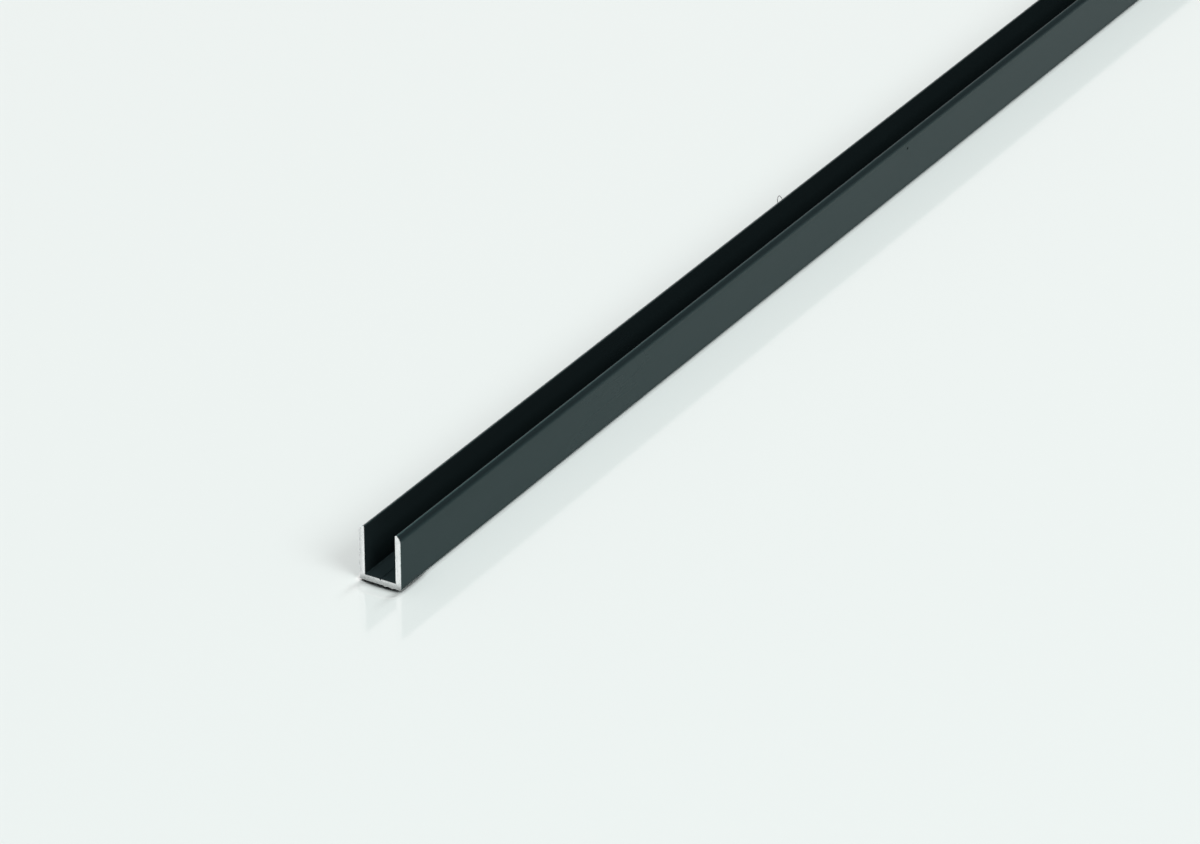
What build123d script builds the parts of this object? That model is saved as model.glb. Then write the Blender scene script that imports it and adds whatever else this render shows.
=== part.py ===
from build123d import *
from math import cos, radians, sin, sqrt
import os

# Plain U channel, extruded as one piece and sawn square, standing on its web with the slot open upwards.
# Millimetres. X runs along the bar, Y across it, Z up from the underside. The origin is under the middle.

# Driving dimensions
STOCK_LENGTH = 1000.0
CHANNEL_WIDTH = 8.0
LEG_HEIGHT = 10.0
LEG_WALL = 1.0
WEB_WALL = 1.0

# Rounded free edge of each leg: one arc, tangent to the outer face, that meets the inner face at this slope
CROWN_SLOPE_DEG = 11.5
LIP_RADIUS = 0.15

# Corner radii left by the die
ROOT_RADIUS = 0.1
FOOT_RADIUS = 0.2

# Shallow drilling line along the middle of the channel floor
GROOVE_WIDTH = 0.4
GROOVE_DEPTH = 0.25

half_width = CHANNEL_WIDTH / 2
half_slot = half_width - LEG_WALL
half_groove = GROOVE_WIDTH / 2

# The arc spans the whole wall, so its radius follows the wall and the slope at the lip
crown_radius = LEG_WALL / (1 - sin(radians(CROWN_SLOPE_DEG)))
crown_rise = crown_radius * cos(radians(CROWN_SLOPE_DEG))

# The lip's small round is tangent to the arc and to the inner face, and its top is the leg's full height
lip_offset = crown_radius - LEG_WALL + LIP_RADIUS
lip_rise = sqrt((crown_radius - LIP_RADIUS) ** 2 - lip_offset**2) + LIP_RADIUS
shoulder_height = LEG_HEIGHT - lip_rise
sharp_lip_height = shoulder_height + crown_rise


def draw_half_outline():
    """Draws the section's right half, from the underside's outer corner up and round to the groove."""
    Line((half_width, 0), (half_width, shoulder_height))
    crown = CenterArc((half_width - crown_radius, shoulder_height), crown_radius, 0, 90 - CROWN_SLOPE_DEG)
    inner_face = Line(crown @ 1, (half_slot, WEB_WALL))
    channel_floor = Line(inner_face @ 1, (half_groove, WEB_WALL))
    Line(channel_floor @ 1, (0, WEB_WALL - GROOVE_DEPTH))


def corner_pair(section, across, height):
    """Finds the two corners of the section at this height, this far either side of the middle."""
    corners = section.vertices()
    return [corners.sort_by_distance((side * across, height))[0] for side in (-1, 1)]


def channel_section():
    """Makes the U section, with its corners rounded as the die leaves them."""
    with BuildSketch(Plane.YZ) as section:
        with BuildLine():
            draw_half_outline()
            mirror(about=Plane.YZ)
            Line((-half_width, 0), (half_width, 0))
        make_face()
        fillet(corner_pair(section, half_width, 0), FOOT_RADIUS)
        fillet(corner_pair(section, half_slot, WEB_WALL), ROOT_RADIUS)
        fillet(corner_pair(section, half_slot, sharp_lip_height), LIP_RADIUS)
    return section.sketch


channel = extrude(channel_section(), amount=STOCK_LENGTH / 2, both=True)

os.makedirs("parts", exist_ok=True)
export_step(channel, "parts/channel.step")
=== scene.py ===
"""Black anodised aluminium U channel, sawn to length and lying on a glossy pale table.

Metres in the row frame: X runs along the bar, Y across it and Z up from its underside.
The near end is at -X.
"""

from __future__ import annotations

import logging
import math
from dataclasses import dataclass, field
from enum import Enum
from typing import Any, Mapping, Sequence, Union

import bpy
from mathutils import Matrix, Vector

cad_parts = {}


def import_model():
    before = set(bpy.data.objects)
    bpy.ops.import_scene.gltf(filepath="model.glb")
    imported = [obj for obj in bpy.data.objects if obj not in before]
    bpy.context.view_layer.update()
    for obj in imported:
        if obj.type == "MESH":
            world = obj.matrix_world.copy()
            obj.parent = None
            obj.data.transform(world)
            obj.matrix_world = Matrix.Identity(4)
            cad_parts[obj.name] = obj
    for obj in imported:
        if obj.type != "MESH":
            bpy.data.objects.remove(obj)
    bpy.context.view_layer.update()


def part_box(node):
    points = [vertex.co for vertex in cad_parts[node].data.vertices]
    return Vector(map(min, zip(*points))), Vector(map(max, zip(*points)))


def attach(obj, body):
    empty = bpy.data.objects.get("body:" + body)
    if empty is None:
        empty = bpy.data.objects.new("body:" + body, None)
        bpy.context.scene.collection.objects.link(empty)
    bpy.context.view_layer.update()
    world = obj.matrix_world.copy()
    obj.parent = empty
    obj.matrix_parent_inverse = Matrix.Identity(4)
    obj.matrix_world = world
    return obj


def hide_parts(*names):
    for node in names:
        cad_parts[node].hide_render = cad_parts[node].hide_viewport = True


log = logging.getLogger("channel")

Triple = tuple[float, float, float]
Colour = Triple
Point = tuple[float, float]

# The imported model's node, and the body that the new pieces hang from
CHANNEL_NODE = "channel"
CHANNEL_BODY = "root"

# The fleck's place on the near leg's outer face
FLECK_FROM_END = 0.172
FLECK_UP = 0.0078

# How many finer layers a noise has
SMOOTH_LAYERS = 2.0
GRAINY_LAYERS = 3.0

# Halfway from 0 to 1
MIDDLE_SHARE = 0.5

# The attribute that says how far round the section a point is
GIRTH = "girth"


class Wire:
    """An output socket that takes part in sums: each operator adds one Math node to the socket's tree."""

    def __init__(self, tree: NodeTree, socket: bpy.types.NodeSocket) -> None:
        """Keeps the socket and the tree it belongs to."""
        self.tree = tree
        self.socket = socket

    def __add__(self, other: Value) -> Wire:
        """Adds a socket or a number."""
        return self.tree.math("ADD", self, other)

    def __radd__(self, other: Value) -> Wire:
        """Adds to a number."""
        return self.tree.math("ADD", other, self)

    def __sub__(self, other: Value) -> Wire:
        """Takes away a socket or a number."""
        return self.tree.math("SUBTRACT", self, other)

    def __rsub__(self, other: Value) -> Wire:
        """Takes this away from a number."""
        return self.tree.math("SUBTRACT", other, self)

    def __mul__(self, other: Value) -> Wire:
        """Multiplies by a socket or a number."""
        return self.tree.math("MULTIPLY", self, other)

    def __rmul__(self, other: Value) -> Wire:
        """Multiplies a number."""
        return self.tree.math("MULTIPLY", other, self)

    def __truediv__(self, other: Value) -> Wire:
        """Divides by a socket or a number."""
        return self.tree.math("DIVIDE", self, other)

    def __pow__(self, other: Value) -> Wire:
        """Raises to a power."""
        return self.tree.math("POWER", self, other)

    def __abs__(self) -> Wire:
        """Drops the sign."""
        return self.tree.math("ABSOLUTE", self)

    def __gt__(self, other: Value) -> Wire:
        """Is 1 where this is the greater, and 0 elsewhere."""
        return self.tree.math("GREATER_THAN", self, other)


Value = Union[Wire, float]


class MadeNode:
    """A node whose outputs are read by name or by number."""

    def __init__(self, tree: NodeTree, node: bpy.types.Node) -> None:
        """Keeps the node and the tree it belongs to."""
        self.tree = tree
        self.node = node

    def __getitem__(self, output: Union[str, int]) -> Wire:
        """Gives one output as a wire."""
        return Wire(self.tree, self.node.outputs[output])


class NodeTree:
    """A shader or geometry node tree, with one method that makes any node."""

    def __init__(self, tree: bpy.types.NodeTree) -> None:
        """Takes the tree over, emptied."""
        self.tree = tree
        tree.nodes.clear()

    def node(
        self,
        kind: str,
        settings: Mapping[str, Any] | None = None,
        inputs: Mapping[Union[str, int], Any] | None = None,
    ) -> MadeNode:
        """Makes a node.

        Args:
            kind: The node's type.
            settings: Its own settings, which are set first.
            inputs: A value, a wire or a list of wires for each socket, by name or number.

        Returns:
            The node.
        """
        made = self.tree.nodes.new(kind)
        for name, value in (settings or {}).items():
            setattr(made, name, value)
        for name, value in (inputs or {}).items():
            self.feed(made.inputs[name], value)
        return MadeNode(self, made)

    def feed(self, socket: bpy.types.NodeSocket, value: Any) -> None:
        """Gives a socket its value, or links what feeds it.

        Args:
            socket: The input socket.
            value: A plain value, a wire, or a list of wires for a socket that takes several.
        """
        if isinstance(value, Wire):
            self.tree.links.new(value.socket, socket)
        elif isinstance(value, list):
            for wire in value:
                self.tree.links.new(wire.socket, socket)
        else:
            socket.default_value = value

    def math(self, operation: str, *values: Value) -> Wire:
        """Makes a Math node from its operation and its values."""
        return self.node("ShaderNodeMath", {"operation": operation}, dict(enumerate(values)))["Value"]

    def split(self, vector: Wire) -> tuple[Wire, Wire, Wire]:
        """Splits a vector into its X, Y and Z."""
        parts = self.node("ShaderNodeSeparateXYZ", inputs={"Vector": vector})
        return parts["X"], parts["Y"], parts["Z"]

    def vector(self, x: Value, y: Value, z: Value) -> Wire:
        """Puts X, Y and Z together as a vector."""
        return self.node("ShaderNodeCombineXYZ", inputs={"X": x, "Y": y, "Z": z})["Vector"]

    def noise(self, place: Wire, per_metre: Triple, layers: float, seed: float) -> Wire:
        """Makes smooth noise from 0 to 1.

        Args:
            place: Where the noise is read.
            per_metre: How many swells it has in a metre of each axis.
            layers: How many finer layers it has.
            seed: Which of many such patterns it is.

        Returns:
            The noise.
        """
        sockets = {0: place, 1: per_metre}
        scaled = self.node("ShaderNodeVectorMath", {"operation": "MULTIPLY"}, sockets)["Vector"]
        sockets = {"Vector": scaled, "W": seed, "Scale": 1.0, "Detail": layers}
        return self.node("ShaderNodeTexNoise", {"noise_dimensions": "4D"}, sockets)["Fac"]

    def ramp(self, value: Wire, low: Value, high: Value) -> Wire:
        """Goes smoothly from 0 where the value is the low one to 1 where it is the high one."""
        sockets = {"Value": value, "From Min": low, "From Max": high}
        return self.node("ShaderNodeMapRange", {"interpolation_type": "SMOOTHSTEP"}, sockets)["Result"]

    def mixed(self, share: Wire, first: Any, second: Any) -> Wire:
        """Mixes two colours or wires, with this share of the second."""
        return self.node("ShaderNodeMix", {"data_type": "RGBA"}, {0: share, 6: first, 7: second})[2]


class InputKind(Enum):
    """What kind of value a geometry recipe's input takes."""

    NUMBER = "NodeSocketFloat"
    PLACE = "NodeSocketVector"
    MATERIAL = "NodeSocketMaterial"


class GeometryRecipe(NodeTree):
    """A geometry node tree with named inputs, which is run once to make one plain mesh."""

    def __init__(self, name: str) -> None:
        """Starts a tree that takes a mesh in and gives one out.

        Args:
            name: The tree's name.
        """
        super().__init__(bpy.data.node_groups.new(name, "GeometryNodeTree"))
        self.values: dict[str, Any] = {}
        for way in ("INPUT", "OUTPUT"):
            self.tree.interface.new_socket("Geometry", in_out=way, socket_type="NodeSocketGeometry")
        self.entry = self.node("NodeGroupInput")

    def input(self, name: str, kind: InputKind, value: Any) -> Wire:
        """Adds a named input and keeps the value it will be run with.

        Args:
            name: The input's name.
            kind: What it takes.
            value: The value.

        Returns:
            The wire that carries it into the tree.
        """
        socket = self.tree.interface.new_socket(name, in_out="INPUT", socket_type=kind.value)
        self.values[socket.identifier] = value
        return self.entry[name]

    def number(self, name: str, value: float) -> Wire:
        """Adds a named number."""
        return self.input(name, InputKind.NUMBER, value)

    def realized(self, geometry: Wire) -> Wire:
        """Turns what instances there are into real geometry."""
        return self.node("GeometryNodeRealizeInstances", inputs={"Geometry": geometry})["Geometry"]

    def painted(self, geometry: Wire, material: Wire, where: Value = True) -> Wire:
        """Gives the geometry a material, on all faces or on some."""
        sockets = {"Geometry": geometry, "Selection": where, "Material": material}
        return self.node("GeometryNodeSetMaterial", inputs=sockets)["Geometry"]

    def run(self, result: Wire, source: bpy.types.Mesh, name: str) -> bpy.types.Object:
        """Closes the tree, runs it on a mesh and keeps what it makes as a plain object.

        Args:
            result: The geometry that the tree gives out.
            source: The mesh that it starts from, which is removed.
            name: The object's name.

        Returns:
            The object, with no modifier left on it.
        """
        self.node("NodeGroupOutput", inputs={"Geometry": result})
        piece = bpy.data.objects.new(name, source)
        bpy.context.scene.collection.objects.link(piece)
        modifier = piece.modifiers.new(self.tree.name, "NODES")
        modifier.node_group = self.tree
        for identifier, value in self.values.items():
            modifier[identifier] = value
        graph = bpy.context.evaluated_depsgraph_get()
        evaluated = piece.evaluated_get(graph)
        mesh = bpy.data.meshes.new_from_object(evaluated, preserve_all_data_layers=True, depsgraph=graph)
        piece.modifiers.remove(modifier)
        piece.data = mesh
        bpy.data.meshes.remove(source)
        mesh.name = name
        return piece


class SurfaceRecipe(NodeTree):
    """A material's node tree, which reads the place on the piece and ends in one shader."""

    def __init__(self, name: str) -> None:
        """Starts a material with an empty tree.

        Args:
            name: The material's name.
        """
        self.material = bpy.data.materials.new(name)
        self.material.use_nodes = True
        super().__init__(self.material.node_tree)
        self.place = self.node("ShaderNodeTexCoord")["Object"]

    def bumped(self, height: Wire, depth: float) -> Wire:
        """Turns a height from 0 to 1 into a normal, for relief of this depth."""
        return self.node("ShaderNodeBump", inputs={"Height": height, "Distance": depth})["Normal"]

    def close(self, sockets: Mapping[str, Any]) -> bpy.types.Material:
        """Ends the tree in a Principled shader.

        Args:
            sockets: A value or a wire for each of the shader's sockets, by name.

        Returns:
            The material.
        """
        shader = self.node("ShaderNodeBsdfPrincipled", inputs=sockets)
        self.node("ShaderNodeOutputMaterial", inputs={"Surface": shader["BSDF"]})
        return self.material


def opaque(colour: Colour, gain: float = 1.0) -> tuple[float, float, float, float]:
    """Gives a colour its fourth number, after making it lighter or darker by the gain."""
    red, green, blue = colour
    return (red * gain, green * gain, blue * gain, 1.0)


@dataclass(frozen=True)
class Fleck:
    """A small dark fleck on the skin: its middle and its radius."""

    middle: Triple
    radius: float = 0.00036
    core_share: float = 0.3

    def cover(self, tree: NodeTree, place: Wire) -> Wire:
        """Gives how far the fleck covers a place.

        Args:
            tree: The skin's tree.
            place: The place on the skin.

        Returns:
            1 in the fleck's core, falling to 0 at its radius.
        """
        sockets = {0: place, 1: self.middle}
        away = tree.node("ShaderNodeVectorMath", {"operation": "DISTANCE"}, sockets)["Value"]
        return tree.ramp(away, self.radius, self.radius * self.core_share)


@dataclass(frozen=True)
class AnodisedSkin:
    """Satin black anodised skin: fine lines along the bar, faint clouds and chips at the sawn rim."""

    half_length: float
    fleck: Fleck
    name: str = "black_anodised_skin"
    shade: Colour = (0.0145, 0.0222, 0.0240)
    bare_shade: Colour = (0.62, 0.63, 0.64)
    fleck_shade: Colour = (0.002, 0.002, 0.002)
    index: float = 1.27
    gloss_tint: Colour = (0.1, 1.0, 1.0)
    roughness: float = 0.23
    roughness_swing: float = 0.05
    cloud_gain: float = 0.15
    clouds_per_metre: Triple = (25.0, 160.0, 160.0)
    lines_per_metre: Triple = (9.0, 2600.0, 2600.0)
    line_depth: float = 0.0000003
    chips_per_metre: Triple = (4000.0, 4500.0, 4500.0)
    chip_reach: float = 0.00016
    chip_gain: float = 2.0
    chip_soft_share: float = 0.35
    line_seed: float = 3.0
    cloud_seed: float = 7.0
    chip_seed: float = 11.0

    def make(self) -> bpy.types.Material:
        """Builds the material.

        Returns:
            The skin.
        """
        skin = SurfaceRecipe(self.name)
        lines = skin.noise(skin.place, self.lines_per_metre, SMOOTH_LAYERS, self.line_seed)
        clouds = skin.noise(skin.place, self.clouds_per_metre, GRAINY_LAYERS, self.cloud_seed)
        grain = skin.noise(skin.place, self.chips_per_metre, SMOOTH_LAYERS, self.chip_seed)
        along, _, _ = skin.split(skin.place)
        from_end = (self.half_length - abs(along)) / self.chip_reach
        edge = grain * self.chip_gain
        chips = skin.ramp(from_end + self.chip_soft_share, edge, edge - self.chip_soft_share)
        darker = opaque(self.shade, 1 - self.cloud_gain)
        lighter = opaque(self.shade, 1 + self.cloud_gain)
        shade = skin.mixed(clouds, darker, lighter)
        fleck = self.fleck.cover(skin, skin.place)
        shade = skin.mixed(fleck, shade, opaque(self.fleck_shade))
        return skin.close(
            {
                "Base Color": skin.mixed(chips, shade, opaque(self.bare_shade)),
                "Metallic": chips,
                "Roughness": self.roughness + (lines + clouds - 1) * self.roughness_swing + fleck,
                "IOR": self.index,
                "Specular Tint": opaque(self.gloss_tint),
                "Normal": skin.bumped(lines, self.line_depth),
            }
        )


@dataclass(frozen=True)
class SawCut:
    """The saw's arcs on a cut end: the blade's middle, across and up, and the arcs' spacing."""

    blade_across: float = -0.055
    blade_up: float = 0.105
    pitch: float = 0.00042
    waver: float = 0.9
    arc_share: float = 0.2
    grain_share: float = 0.9
    grain_per_metre: Triple = (3200.0,) * 3
    seed: float = 5.0

    def height(self, tree: NodeTree, place: Wire) -> Wire:
        """Gives the cut's relief.

        Args:
            tree: The tree that the relief is made in.
            place: The place on the end.

        Returns:
            The height, from about 0 to 1.
        """
        _, across, up = tree.split(place)
        reach = ((across - self.blade_across) ** 2.0 + (up - self.blade_up) ** 2.0) ** 0.5
        grain = tree.noise(place, self.grain_per_metre, GRAINY_LAYERS, self.seed)
        turns = reach / self.pitch + grain * self.waver
        arcs = tree.math("SINE", turns * math.tau)
        return MIDDLE_SHARE + arcs * self.arc_share + (grain - MIDDLE_SHARE) * self.grain_share


@dataclass(frozen=True)
class SawnMetal:
    """Bare metal of a sawn end: the saw's arcs, a patchy grain, painted shade on the lower edge and a darker
    outer edge on the +Y side.
    """

    cut: SawCut
    half_width: float
    name: str = "sawn_aluminium"
    shade: Colour = (0.955, 0.96, 0.965)
    smear_shade: Colour = (0.60, 0.61, 0.615)
    # Colour of the painted shade on the lower edge, and of the darker band on the +Y leg's outer edge
    darkened_shade: Colour = (0.46, 0.47, 0.47)
    painted_shade_up_to: float = 0.0015
    dark_side_in_to: float = 0.0007
    side_share: float = 0.4
    metallic: float = 1.0
    roughness: float = 0.34
    roughness_swing: float = 0.2
    patches_per_metre: Triple = (2300.0, 2300.0, 700.0)
    patch_shares: tuple[float, float] = (0.36, 0.62)
    clean_share: float = 0.4
    relief: float = 0.00003
    seed: float = 17.0

    def make(self) -> bpy.types.Material:
        """Builds the material.

        Returns:
            The sawn metal.
        """
        metal = SurfaceRecipe(self.name)
        height = self.cut.height(metal, metal.place)
        grain = metal.noise(metal.place, self.patches_per_metre, GRAINY_LAYERS, self.seed)
        patches = metal.ramp(grain, *self.patch_shares)
        _, across, up = metal.split(metal.place)
        side = metal.ramp(across, self.half_width - self.dark_side_in_to, self.half_width) * self.side_share
        # Painted shade darkens the end towards its lower edge, and the +Y leg's outer edge is made darker
        # too
        painted_shade_and_dark_side = metal.math("MAXIMUM", metal.ramp(up, self.painted_shade_up_to, 0.0), side)
        smears = (1 - patches) * (painted_shade_and_dark_side * (1 - self.clean_share) + self.clean_share)
        shade = metal.mixed(smears, opaque(self.shade), opaque(self.smear_shade))
        return metal.close(
            {
                "Base Color": metal.mixed(painted_shade_and_dark_side, shade, opaque(self.darkened_shade)),
                "Metallic": self.metallic,
                "Roughness": self.roughness + (patches - MIDDLE_SHARE) * self.roughness_swing,
                "Normal": metal.bumped(height, self.relief),
            }
        )


@dataclass(frozen=True)
class SwarfMetal:
    """Dull grey of a saw chip."""

    name: str = "swarf_aluminium"
    shade: Colour = (0.13, 0.135, 0.14)
    dark_shade: Colour = (0.06, 0.065, 0.07)
    metallic: float = 0.5
    roughness: float = 0.5
    patches_per_metre: Triple = (4000.0,) * 3
    seed: float = 23.0

    def make(self) -> bpy.types.Material:
        """Builds the material.

        Returns:
            The chip's metal.
        """
        chip = SurfaceRecipe(self.name)
        patches = chip.noise(chip.place, self.patches_per_metre, SMOOTH_LAYERS, self.seed)
        return chip.close(
            {
                "Base Color": chip.mixed(patches, opaque(self.dark_shade), opaque(self.shade)),
                "Metallic": self.metallic,
                "Roughness": self.roughness,
            }
        )


@dataclass(frozen=True)
class TableTop:
    """Glossy pale table."""

    name: str = "pale_table"
    shade: Colour = (0.790, 0.826, 0.817)
    index: float = 1.49
    roughness: float = 0.095

    def make(self) -> bpy.types.Material:
        """Builds the material."""
        return SurfaceRecipe(self.name).close(
            {"Base Color": opaque(self.shade), "Roughness": self.roughness, "IOR": self.index}
        )


@dataclass(frozen=True)
class Run:
    """Straight part of the section, between two points across and up."""

    start: Point
    end: Point

    def at(self, share: float) -> Point:
        """Gives the point this share of the way along."""
        return tuple(first + share * (last - first) for first, last in zip(self.start, self.end))


@dataclass(frozen=True)
class Arc:
    """Round part of the section, between two angles from the level."""

    centre: Point
    radius: float
    first_deg: float
    last_deg: float

    def at(self, share: float) -> Point:
        """Gives a point of the arc.

        Args:
            share: How much of the way along it is.

        Returns:
            The point, across and up.
        """
        angle = math.radians(self.first_deg + share * (self.last_deg - self.first_deg))
        across, up = self.centre
        return (across + self.radius * math.cos(angle), up + self.radius * math.sin(angle))


@dataclass(frozen=True)
class Span:
    """Matching parts of the wall's outer and inner side, cut into as many steps as each other."""

    outer: Union[Run, Arc]
    inner: Union[Run, Arc]
    steps: int


@dataclass(frozen=True)
class Rung:
    """A line through the wall, from its outer side to its inner side."""

    outer: Point
    inner: Point

    def at(self, share: float) -> Point:
        """Gives the point this share of the way through the wall."""
        return Run(self.outer, self.inner).at(share)

    def mirrored(self) -> Rung:
        """Gives the same line on the other side of the channel."""
        return Rung((-self.outer[0], self.outer[1]), (-self.inner[0], self.inner[1]))


@dataclass(frozen=True)
class ChannelSection:
    """The U section: its width and height, walls, rounded leg edges, corner radii and drilling line."""

    width: float
    height: float
    leg_wall: float = 0.001
    web_wall: float = 0.001
    crown_slope_deg: float = 11.5
    lip_radius: float = 0.00015
    root_radius: float = 0.0001
    foot_radius: float = 0.0002
    groove_width: float = 0.0004
    groove_depth: float = 0.00025
    cell: float = 0.00014
    wall_cells: int = 8
    lip_steps: int = 8
    crown_steps: int = 18
    foot_steps: int = 7
    groove_steps: int = 3

    def steps_over(self, length: float) -> int:
        """Gives how many cells a straight run of this length is cut into."""
        return max(1, round(length / self.cell))

    def spans(self) -> list[Span]:
        """Works the section's right half out, from the lip's top down the leg to the middle of the web.

        Returns:
            Its spans, in order.
        """
        half_width = self.width / 2
        half_slot = half_width - self.leg_wall
        half_groove = self.groove_width / 2
        crown_radius = self.leg_wall / (1 - math.sin(math.radians(self.crown_slope_deg)))
        lip_offset = crown_radius - self.leg_wall + self.lip_radius
        lip_lift = math.sqrt((crown_radius - self.lip_radius) ** 2 - lip_offset**2)
        lip = (half_slot + self.lip_radius, self.height - self.lip_radius)
        shoulder = lip[1] - lip_lift
        crown = (half_width - crown_radius, shoulder)
        crown_deg = math.degrees(math.atan2(lip_lift, lip_offset))
        root = (half_slot - self.root_radius, self.web_wall + self.root_radius)
        foot = (half_width - self.foot_radius, self.foot_radius)
        lip_outer = Arc(lip, self.lip_radius, 90, crown_deg)
        lip_inner = Arc(lip, self.lip_radius, 90, 180)
        crown_outer = Arc(crown, crown_radius, crown_deg, 0)
        crown_inner = Run((half_slot, lip[1]), (half_slot, shoulder))
        leg_outer = Run((half_width, shoulder), (half_width, root[1]))
        leg_inner = Run((half_slot, shoulder), (half_slot, root[1]))
        heel_outer = Run((half_width, root[1]), (half_width, foot[1]))
        foot_outer = Arc(foot, self.foot_radius, 0, -90)
        sole_outer = Run((foot[0], 0), (root[0], 0))
        root_degs = (0, -30, -60, -90)
        heel_inner, foot_inner, sole_inner = (
            Arc(root, self.root_radius, first, last) for first, last in zip(root_degs, root_degs[1:])
        )
        floor_outer = Run((root[0], 0), (half_groove, 0))
        floor_inner = Run((root[0], self.web_wall), (half_groove, self.web_wall))
        groove_outer = Run((half_groove, 0), (0, 0))
        groove_inner = Run((half_groove, self.web_wall), (0, self.web_wall - self.groove_depth))
        return [
            Span(lip_outer, lip_inner, self.lip_steps),
            Span(crown_outer, crown_inner, self.crown_steps),
            Span(leg_outer, leg_inner, self.steps_over(shoulder - root[1])),
            Span(heel_outer, heel_inner, self.steps_over(root[1] - foot[1])),
            Span(foot_outer, foot_inner, self.foot_steps),
            Span(sole_outer, sole_inner, self.steps_over(foot[0] - root[0])),
            Span(floor_outer, floor_inner, self.steps_over(root[0] - half_groove)),
            Span(groove_outer, groove_inner, self.groove_steps),
        ]

    def rungs(self) -> list[Rung]:
        """Cuts the whole section into lines through its wall.

        Returns:
            The lines from the right lip's top, round the web, to the left lip's top.
        """
        spans = self.spans()
        half = [Rung(spans[0].outer.at(0), spans[0].inner.at(0))]
        for span in spans:
            shares = [(step + 1) / span.steps for step in range(span.steps)]
            half += [Rung(span.outer.at(share), span.inner.at(share)) for share in shares]
        return half + [rung.mirrored() for rung in reversed(half[:-1])]


@dataclass(frozen=True)
class Burr:
    """A tag of metal that the saw has pushed below the underside at the near end."""

    across: float
    half_width: float
    drop: float


class BarZone(Enum):
    """The bar's finishes, numbered as their material slots."""

    SKIN = 0
    SAWN = 1


@dataclass(frozen=True)
class BarMap:
    """Where the bar's faces lie on its bake map: the skin as one wide strip, and a patch for each end."""

    name: str = "OFBake"
    margin_share: float = 0.01
    skin_share: float = 0.54
    rim_share: float = 0.03
    end_share: float = 0.42
    last_round_share: float = 0.9

    def skin_place(self, along: float, girth: float, half_length: float, rim: float) -> Point:
        """Places a point of the skin.

        Args:
            along: The point's X.
            girth: How far round the section it is, from 0 to 1.
            half_length: Half the bar's length.
            rim: The length of the short band at each end, which gets more of the map than its length asks.

        Returns:
            The place on the map.
        """
        from_end = half_length - abs(along)
        middle_share = MIDDLE_SHARE - self.margin_share - self.rim_share
        if from_end < rim:
            reach = middle_share + self.rim_share * (1 - max(0.0, from_end) / rim)
        else:
            reach = middle_share * abs(along) / (half_length - rim)
        left = MIDDLE_SHARE + math.copysign(reach, along)
        return (left, self.margin_share + girth * self.skin_share)

    def end_place(self, along: float, across: float, up: float, section: ChannelSection) -> Point:
        """Places a point of a sawn end.

        Args:
            along: The point's X, which says which end it is on.
            across: Its Y.
            up: Its Z.
            section: The bar's section.

        Returns:
            The place on the map.
        """
        gain = self.end_share / section.height
        left = self.margin_share if along < 0 else self.margin_share + self.end_share
        base = 1 - self.margin_share - self.end_share
        return (left + (across + section.width / 2) * gain, base + max(0.0, up) * gain)


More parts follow.
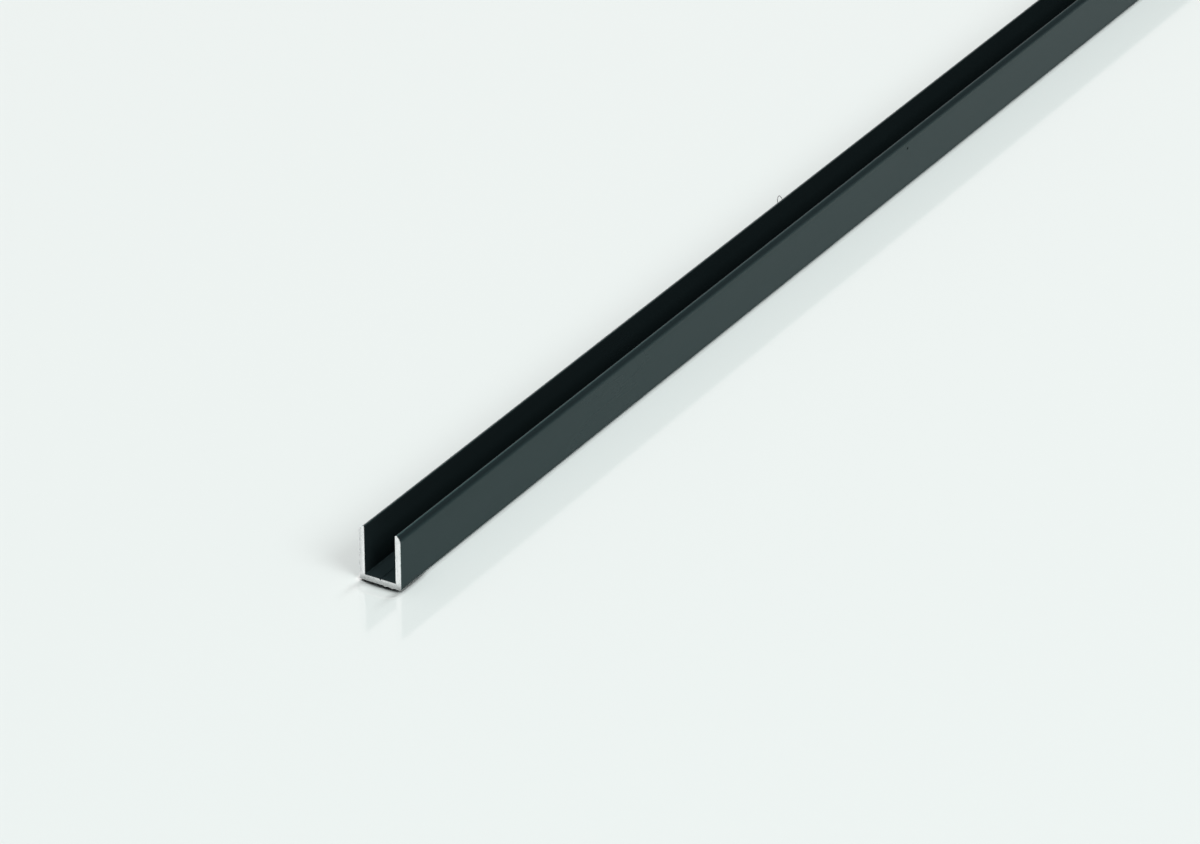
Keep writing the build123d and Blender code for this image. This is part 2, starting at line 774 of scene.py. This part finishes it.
@dataclass
class ChannelBar:
    """The extruded bar: its section drawn along its length, sawn at both ends."""

    section: ChannelSection
    length: float
    cut: SawCut
    name: str = "channel_profile"
    rim: float = 0.0004
    relief: float = 0.00004
    merge_reach: float = 0.000001
    end_facing: float = 0.7
    sharp_deg: float = 32.0
    burr_waver: float = 0.00006
    burr_swells_per_metre: Triple = (1100.0,) * 3
    burr_seed: float = 29.0
    burrs: tuple[Burr, ...] = (
        Burr(across=-0.0009, half_width=0.00035, drop=0.00013),
        Burr(across=-0.0022, half_width=0.00035, drop=0.00013),
    )
    bake_map: BarMap = field(default_factory=BarMap)

    def plate(self) -> bpy.types.Mesh:
        """Makes the section as a flat plate of small cells at the near end, facing along the bar.

        Returns:
            The plate, with how far round the section each point is kept as an attribute.
        """
        rungs = self.section.rungs()
        cells = self.section.wall_cells
        columns = cells + 1
        shares = [cell / cells for cell in range(columns)]
        points = [(-self.length / 2, *rung.at(share)) for rung in rungs for share in shares]
        faces = []
        for row in range(len(rungs) - 1):
            for cell in range(cells):
                corner = row * columns + cell
                faces.append((corner, corner + 1, corner + columns + 1, corner + columns))
        mesh = bpy.data.meshes.new(self.name + "_plate")
        mesh.from_pydata(points, [], faces)
        girth = mesh.attributes.new(GIRTH, "FLOAT", "POINT")
        values = [value for pair in self.girths(rungs) for value in self.through_wall(pair, shares)]
        girth.data.foreach_set("value", values)
        return mesh

    @staticmethod
    def through_wall(pair: Point, shares: Sequence[float]) -> list[float]:
        """Gives the girth at each share of the way in: the outer side's up to the middle, then the inner."""
        return [pair[0] if share < MIDDLE_SHARE else pair[1] for share in shares]

    @staticmethod
    def girths(rungs: Sequence[Rung]) -> list[Point]:
        """Measures how far round the section each rung's two ends are.

        Args:
            rungs: The lines through the wall, from one lip to the other.

        Returns:
            The two shares for each rung: out along the outer side and back along the inner one.
        """
        outer = [0.0]
        inner = [0.0]
        for last, rung in zip(rungs, rungs[1:]):
            outer.append(outer[-1] + math.dist(last.outer, rung.outer))
            inner.append(inner[-1] + math.dist(last.inner, rung.inner))
        whole = outer[-1] + inner[-1]
        pairs = [(out / whole, 1 - back / whole) for out, back in zip(outer, inner)]
        pairs[0] = (0.0, 0.0)
        return pairs

    def build(self, skin: bpy.types.Material, sawn: bpy.types.Material) -> bpy.types.Object:
        """Draws the plate along the bar, paints both zones and cuts the saw's relief and burrs.

        Args:
            skin: The anodised finish.
            sawn: The bare ends' finish.

        Returns:
            The bar.
        """
        recipe = GeometryRecipe(self.name + "_recipe")
        half_length = recipe.number("half length", self.length / 2)
        rim = recipe.number("rim", self.rim)
        relief = recipe.number("saw relief", self.relief)
        touch = recipe.number("merge reach", self.merge_reach)
        skin_paint = recipe.input("skin", InputKind.MATERIAL, skin)
        sawn_paint = recipe.input("sawn metal", InputKind.MATERIAL, sawn)
        plate = self.welded(recipe, recipe.entry["Geometry"], touch)
        body = plate
        top: Value = True
        along_bar = recipe.vector(1.0, 0.0, 0.0)
        for reach in (rim, 2.0 * (half_length - rim), rim):
            sockets = {
                "Mesh": body,
                "Selection": top,
                "Offset": along_bar,
                "Offset Scale": reach,
                "Individual": False,
            }
            drawn = recipe.node("GeometryNodeExtrudeMesh", {"mode": "FACES"}, sockets)
            body, top = drawn["Mesh"], drawn["Top"]
        near_end = recipe.node("GeometryNodeFlipFaces", inputs={"Mesh": plate})["Mesh"]
        joined = recipe.node("GeometryNodeJoinGeometry", inputs={"Geometry": [body, near_end]})["Geometry"]
        closed = self.welded(recipe, joined, touch)
        facing, _, _ = recipe.split(recipe.node("GeometryNodeInputNormal")["Normal"])
        painted = recipe.painted(closed, skin_paint)
        painted = recipe.painted(painted, sawn_paint, abs(facing) > self.end_facing)
        carved = self.carved(recipe, painted, half_length, relief, touch)
        bar = recipe.run(recipe.realized(carved), self.plate(), self.name)
        self.dress(bar.data)
        return bar

    @staticmethod
    def welded(recipe: GeometryRecipe, geometry: Wire, reach: Wire) -> Wire:
        """Merges points that lie on each other."""
        sockets = {"Geometry": geometry, "Distance": reach}
        return recipe.node("GeometryNodeMergeByDistance", inputs=sockets)["Geometry"]

    def carved(
        self,
        recipe: GeometryRecipe,
        geometry: Wire,
        half_length: Wire,
        relief: Wire,
        touch: Wire,
    ) -> Wire:
        """Moves the ends' points: inwards by the saw's relief, and down where the saw has left burrs.

        Args:
            recipe: The bar's recipe.
            geometry: The closed bar.
            half_length: Half the bar's length.
            relief: The depth of the saw's relief.
            touch: A reach that is too small to see.

        Returns:
            The bar with its ends cut.
        """
        place = recipe.node("GeometryNodeInputPosition")["Position"]
        along, across, up = recipe.split(place)
        at_end = abs(along) > half_length - touch
        near = recipe.math("LESS_THAN", along, 0.0)
        inwards = self.cut.height(recipe, place) * relief * recipe.math("SIGN", along)
        waver = recipe.noise(place, self.burr_swells_per_metre, SMOOTH_LAYERS, self.burr_seed)
        drop: Value = waver * self.burr_waver
        for burr in self.burrs:
            bulge = 1 - abs((across - burr.across) / burr.half_width) ** 2.0
            drop = drop + recipe.math("MAXIMUM", bulge, 0.0) * near * burr.drop
        under = recipe.ramp(up, self.section.foot_radius / 2, 0.0)
        offset = recipe.vector(0.0 - inwards, 0.0, 0.0 - drop * under)
        sockets = {"Geometry": geometry, "Selection": at_end, "Offset": offset}
        return recipe.node("GeometryNodeSetPosition", inputs=sockets)["Geometry"]

    def dress(self, mesh: bpy.types.Mesh) -> None:
        """Shades the mesh smooth between its sharp edges, and lays its bake map.

        Args:
            mesh: The bar's mesh.
        """
        mesh.shade_smooth()
        mesh.set_sharp_from_angle(angle=math.radians(self.sharp_deg))
        girths = [item.value for item in mesh.attributes[GIRTH].data]
        layer = mesh.uv_layers.new(name=self.bake_map.name)
        for face in mesh.polygons:
            corners = [mesh.loops[loop].vertex_index for loop in face.loop_indices]
            if face.material_index == BarZone.SAWN.value:
                points = [mesh.vertices[corner].co for corner in corners]
                places = [self.bake_map.end_place(*point, self.section) for point in points]
            else:
                places = self.skin_places(mesh, corners, girths)
            for loop, place in zip(face.loop_indices, places):
                layer.uv[loop].vector = place
        mesh.attributes.remove(mesh.attributes[GIRTH])

    def skin_places(
        self,
        mesh: bpy.types.Mesh,
        corners: Sequence[int],
        girths: Sequence[float],
    ) -> list[Point]:
        """Places a skin face's corners on the map. The last face round the section ends at 1, not at 0.

        Args:
            mesh: The bar's mesh.
            corners: The face's points.
            girths: How far round the section each point of the mesh is.

        Returns:
            The places on the map.
        """
        last_round = max(girths[corner] for corner in corners) > self.bake_map.last_round_share
        places = []
        for corner in corners:
            girth = girths[corner]
            if last_round and girth < MIDDLE_SHARE:
                girth = 1.0
            along = mesh.vertices[corner].co.x
            places.append(self.bake_map.skin_place(along, girth, self.length / 2, self.rim))
        return places


@dataclass
class SwarfCurl:
    """A saw chip that stands in an arch on the far leg's rounded edge."""

    from_end: float = 0.13675
    across: float = 0.0036
    up: float = 0.00985
    reach: float = 0.00172
    lean: float = 0.00012
    rise: float = 0.0021
    thickness: float = 0.00012
    steps: int = 24
    sides: int = 8
    name: str = "swarf_curl"

    def build(self, near_end: float, metal: bpy.types.Material) -> bpy.types.Object:
        """Bends a thin wire into the arch.

        Args:
            near_end: The near end's X.
            metal: The chip's finish.

        Returns:
            The chip.
        """
        recipe = GeometryRecipe(self.name + "_recipe")
        start_x = near_end + self.from_end
        crest = (start_x + self.lean, self.across, self.up + self.rise)
        start = recipe.input("start", InputKind.PLACE, (start_x, self.across, self.up))
        middle = recipe.input("middle", InputKind.PLACE, crest)
        end = recipe.input("end", InputKind.PLACE, (start_x + self.reach, self.across, self.up))
        radius = recipe.number("radius", self.thickness / 2)
        paint = recipe.input("metal", InputKind.MATERIAL, metal)
        sockets = {"Resolution": self.steps, "Start": start, "Middle": middle, "End": end}
        arch = recipe.node("GeometryNodeCurveQuadraticBezier", inputs=sockets)["Curve"]
        sockets = {"Resolution": self.sides, "Radius": radius}
        ring = recipe.node("GeometryNodeCurvePrimitiveCircle", inputs=sockets)["Curve"]
        sockets = {"Curve": arch, "Profile Curve": ring, "Fill Caps": True}
        tube = recipe.node("GeometryNodeCurveToMesh", inputs=sockets)["Mesh"]
        result = recipe.painted(recipe.realized(tube), paint)
        curl = recipe.run(result, bpy.data.meshes.new(self.name + "_seed"), self.name)
        curl.data.shade_smooth()
        return curl


def direction(azimuth_deg: float, elevation_deg: float) -> Triple:
    """Turns two angles into a direction.

    Args:
        azimuth_deg: The angle from +X towards +Y.
        elevation_deg: The angle above the level.

    Returns:
        The unit vector.
    """
    azimuth = math.radians(azimuth_deg)
    elevation = math.radians(elevation_deg)
    level = math.cos(elevation)
    return (level * math.cos(azimuth), level * math.sin(azimuth), math.sin(elevation))


@dataclass(frozen=True)
class SkyPatch:
    """A round part of the sky, lighter or darker: its middle, the radii it fades between and its gain."""

    azimuth_deg: float
    elevation_deg: float
    inner_deg: float
    outer_deg: float
    gain: float

    def over(self, tree: NodeTree, ray: Wire, sky: Any, shade: Colour) -> Wire:
        """Lays the patch, which is the shade times the gain, over a sky that is a colour or a wire."""
        return tree.mixed(self.cover(tree, ray), sky, opaque(shade, self.gain))

    def cover(self, tree: NodeTree, ray: Wire) -> Wire:
        """Gives how much of the patch a ray meets.

        Args:
            tree: The world's tree.
            ray: The ray's direction.

        Returns:
            1 inside the patch, falling to 0 outside it.
        """
        middle = direction(self.azimuth_deg, self.elevation_deg)
        sockets = {0: ray, 1: middle}
        nearness = tree.node("ShaderNodeVectorMath", {"operation": "DOT_PRODUCT"}, sockets)["Value"]
        outer = math.cos(math.radians(self.outer_deg))
        return tree.ramp(nearness, outer, math.cos(math.radians(self.inner_deg)))


@dataclass(frozen=True)
class Softbox:
    """A large oval soft lamp: where it hangs as seen from the near end, its two sides, power and colour."""

    azimuth_deg: float
    elevation_deg: float
    level_side: float
    upright_side: float
    watts: float
    shade: Colour
    distance: float = 7.0

    def hang(self, near_end: float) -> None:
        """Hangs the lamp so that it faces the near end, out of the camera's sight and of reflections.

        Args:
            near_end: The near end's X.
        """
        light = bpy.data.lights.new("softbox", "AREA")
        light.shape = "ELLIPSE"
        light.size = self.level_side
        light.size_y = self.upright_side
        light.energy = self.watts
        light.color = self.shade
        lamp = bpy.data.objects.new("softbox", light)
        aim = Vector(direction(self.azimuth_deg, self.elevation_deg))
        lamp.location = Vector((near_end, 0, 0)) + aim * self.distance
        lamp.rotation_euler = aim.to_track_quat("Z", "Y").to_euler()
        lamp.visible_camera = False
        lamp.visible_glossy = False
        bpy.context.scene.collection.objects.link(lamp)


@dataclass
class Studio:
    """The table under the bar, the soft light round it and the camera."""

    table: TableTop
    table_reach: float = 20.0
    table_gap: float = 0.0001
    hollow_depth: float = 0.00068
    hollow_length: float = 0.0065
    hollow_width: float = 0.0052
    hollow_behind: float = 0.0025
    hollow_power: float = 4.0
    hollow_rings: int = 16
    hollow_spokes: int = 64
    ring_growth: float = 1.5
    softboxes: tuple[Softbox, ...] = (
        Softbox(
            azimuth_deg=0.0,
            elevation_deg=82.0,
            level_side=1.4,
            upright_side=9.6,
            watts=380.0,
            shade=(0.965, 1.0, 0.995),
        ),
        Softbox(
            azimuth_deg=-102.0,
            elevation_deg=41.0,
            level_side=4.0,
            upright_side=4.0,
            watts=195.0,
            shade=(0.94, 1.0, 0.99),
        ),
    )
    fill: Colour = (0.25, 0.248, 0.244)
    shade_in_front: SkyPatch = SkyPatch(
        azimuth_deg=180.0, elevation_deg=0.0, inner_deg=45.0, outer_deg=70.0, gain=0.1
    )
    backdrop: Colour = (1.04, 0.915, 0.905)
    screen: SkyPatch = SkyPatch(
        azimuth_deg=-30.0, elevation_deg=22.0, inner_deg=23.0, outer_deg=27.0, gain=0.05
    )
    window: SkyPatch = SkyPatch(
        azimuth_deg=8.0, elevation_deg=54.0, inner_deg=14.0, outer_deg=19.0, gain=3.6
    )
    focal_px: float = 5694.146
    image_width_px: float = 1200.0
    sensor_width_mm: float = 36.0
    pitch_deg: float = 28.858
    heading_deg: float = 31.153
    behind_end: float = 0.664938
    beside: float = -0.443703
    above: float = 0.470264

    def build(self, near_end: float) -> None:
        """Sets the table, the light and the camera.

        Args:
            near_end: The near end's X.
        """
        self.lay_table(near_end)
        self.light()
        for softbox in self.softboxes:
            softbox.hang(near_end)
        self.place_camera(near_end)

    def ring_shares(self) -> list[float]:
        """Sizes the table's rings, which are close together in the hollow and wider apart outside it.

        Returns:
            Each ring's size as a share of the hollow's.
        """
        shares = [ring / self.hollow_rings for ring in range(1, self.hollow_rings + 1)]
        while shares[-1] * self.hollow_width < self.table_reach:
            shares.append(shares[-1] * self.ring_growth)
        return shares

    def table_place(self, middle: float, share: float, turn: float) -> Triple:
        """Places a point of the table.

        Args:
            middle: The X of the hollow's middle.
            share: The size of the point's ring as a share of the hollow's.
            turn: The point's angle round the ring.

        Returns:
            The point, sunk where it is in the hollow.
        """
        power = self.hollow_power
        along = math.cos(turn)
        across = math.sin(turn)
        out = share / (abs(along) ** power + abs(across) ** power) ** (1 / power)
        sunk = max(0.0, 1 - share**power) ** 2
        return (
            middle + out * self.hollow_length * along,
            out * self.hollow_width * across,
            -self.table_gap - self.hollow_depth * sunk,
        )

    def lay_table(self, near_end: float) -> None:
        """Lays the table under the bar, flat but for a shallow hollow where the near end stands clear of it.

        Args:
            near_end: The near end's X.
        """
        middle = near_end + self.hollow_behind
        spokes = self.hollow_spokes
        turns = [math.tau * spoke / spokes for spoke in range(spokes)]
        shares = self.ring_shares()
        places = [self.table_place(middle, 0.0, 0.0)]
        places += [self.table_place(middle, share, turn) for share in shares for turn in turns]
        faces = [(0, 1 + spoke, 1 + (spoke + 1) % spokes) for spoke in range(spokes)]
        for ring in range(len(shares) - 1):
            first = 1 + ring * spokes
            for spoke in range(spokes):
                corner = first + spoke
                following = first + (spoke + 1) % spokes
                faces.append((corner, corner + spokes, following + spokes, following))
        mesh = bpy.data.meshes.new("table")
        mesh.from_pydata(places, [], faces)
        mesh.shade_smooth()
        mesh.materials.append(self.table.make())
        table = bpy.data.objects.new("table", mesh)
        bpy.context.scene.collection.objects.link(table)

    def light(self) -> None:
        """Fills the shadows from far away, and sets the pale backdrop that the camera and the metal see."""
        world = bpy.data.worlds.new("studio")
        world.use_nodes = True
        bpy.context.scene.world = world
        sky = NodeTree(world.node_tree)
        ray = sky.node("ShaderNodeTexCoord")["Generated"]
        lit = self.shade_in_front.over(sky, ray, opaque(self.fill), self.fill)
        shown = self.screen.over(sky, ray, opaque(self.backdrop), self.backdrop)
        shown = self.window.over(sky, ray, shown, self.backdrop)
        path = sky.node("ShaderNodeLightPath")
        seen = path["Is Camera Ray"] + path["Is Glossy Ray"] + path["Is Transmission Ray"]
        lighting = sky.node("ShaderNodeBackground", inputs={"Color": lit})["Background"]
        backdrop = sky.node("ShaderNodeBackground", inputs={"Color": shown})["Background"]
        mix = sky.node("ShaderNodeMixShader", inputs={0: seen, 1: lighting, 2: backdrop})
        sky.node("ShaderNodeOutputWorld", inputs={"Surface": mix["Shader"]})
        bpy.context.scene.view_settings.view_transform = "Standard"

    def place_camera(self, near_end: float) -> None:
        """Places the camera before the near end, to the right of the bar and above it.

        Args:
            near_end: The near end's X.
        """
        lens = bpy.data.cameras.new("camera")
        lens.sensor_fit = "HORIZONTAL"
        lens.sensor_width = self.sensor_width_mm
        lens.lens = self.focal_px / self.image_width_px * self.sensor_width_mm
        camera = bpy.data.objects.new("camera", lens)
        camera.location = (near_end - self.behind_end, self.beside, self.above)
        tilt = math.radians(90 - self.pitch_deg)
        camera.rotation_euler = (tilt, 0, math.radians(self.heading_deg - 90))
        bpy.context.scene.collection.objects.link(camera)
        bpy.context.scene.camera = camera


def report_piece(piece: bpy.types.Object) -> None:
    """Logs a piece's name and how many triangles it has."""
    triangles = sum(len(face.vertices) - 2 for face in piece.data.polygons)
    log.info("%s: %d triangles", piece.name, triangles)


def main() -> None:
    """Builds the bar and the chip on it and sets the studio."""
    logging.basicConfig(level=logging.INFO, format="%(name)s %(message)s")
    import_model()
    low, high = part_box(CHANNEL_NODE)
    length, width, height = high - low
    cut = SawCut()
    bar = ChannelBar(ChannelSection(width, height), length, cut)
    fleck = Fleck((low.x + FLECK_FROM_END, low.y, FLECK_UP))
    skin = AnodisedSkin(length / 2, fleck).make()
    sawn = SawnMetal(cut, width / 2).make()
    profile = bar.build(skin, sawn)
    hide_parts(CHANNEL_NODE)
    curl = SwarfCurl().build(low.x, SwarfMetal().make())
    for piece in (profile, curl):
        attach(piece, CHANNEL_BODY)
        report_piece(piece)
    Studio(TableTop()).build(low.x)


if __name__ == "__main__":
    main()
